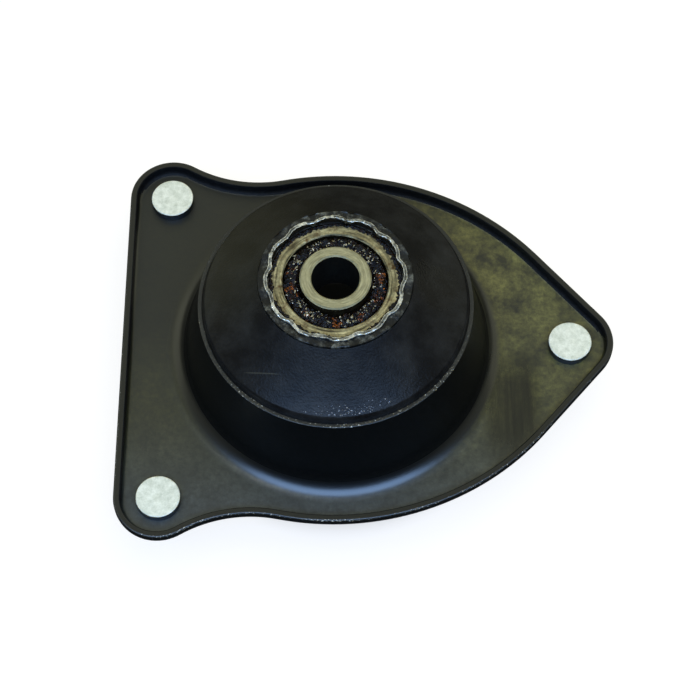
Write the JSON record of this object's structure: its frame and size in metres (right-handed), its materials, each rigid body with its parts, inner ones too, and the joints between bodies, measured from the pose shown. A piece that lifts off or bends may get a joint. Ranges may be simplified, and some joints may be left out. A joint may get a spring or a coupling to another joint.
{
  "type": "strut mount",
  "caption": "Strut top mount: lipped stamped plate with press-in studs, a drawn neck, a bonded conical rubber bush and a staked ball bearing that turns with the piston rod.",
  "frame": {"origin": "on the bearing axis in the plane of the plate's tower face", "axes": "+Z along the bearing axis from the tower face to the strut, +X from the bearing axis to the single front stud"},
  "size_m": [0.1501, 0.1288, 0.0645],
  "materials": {
    "plate_coat": "satin black electrocoat, worn at the lip",
    "stud_zinc": "matt zinc plate",
    "bush_rubber": "smooth moulded black rubber",
    "housing_steel": "bare staked steel",
    "ring_steel": "ground bearing steel under grease",
    "cage_steel": "pressed steel strip under grease",
    "ball_steel": "polished"
  },
  "bodies": {
    "mount": {"mounting_plate": "plate_coat", "studs": "stud_zinc", "rubber_bush": "bush_rubber", "bearing_housing": "housing_steel", "bearing_outer_ring": "ring_steel"},
    "inner_ring": {"bearing_inner_ring": "ring_steel"},
    "cage": {"cage_upper": "cage_steel", "cage_lower": "cage_steel", "cage_rivets": "cage_steel", "ball_1": "ball_steel", "ball_2": "ball_steel", "ball_3": "ball_steel", "ball_4": "ball_steel", "ball_5": "ball_steel", "ball_6": "ball_steel", "ball_7": "ball_steel", "ball_8": "ball_steel"}
  },
  "joints": [
    {"name": "inner_ring_spin", "type": "hinge", "parent": "mount", "child": "inner_ring", "pos_m": [0, 0, 0.03677], "axis": [0, 0, 1], "continuous": true},
    {"name": "cage_spin", "type": "hinge", "parent": "mount", "child": "cage", "pos_m": [0, 0, 0.03677], "axis": [0, 0, 1], "continuous": true}
  ],
  "couplings": [
    {"joint": "cage_spin", "follows": "inner_ring_spin", "ratio": 0.3767}
  ]
}
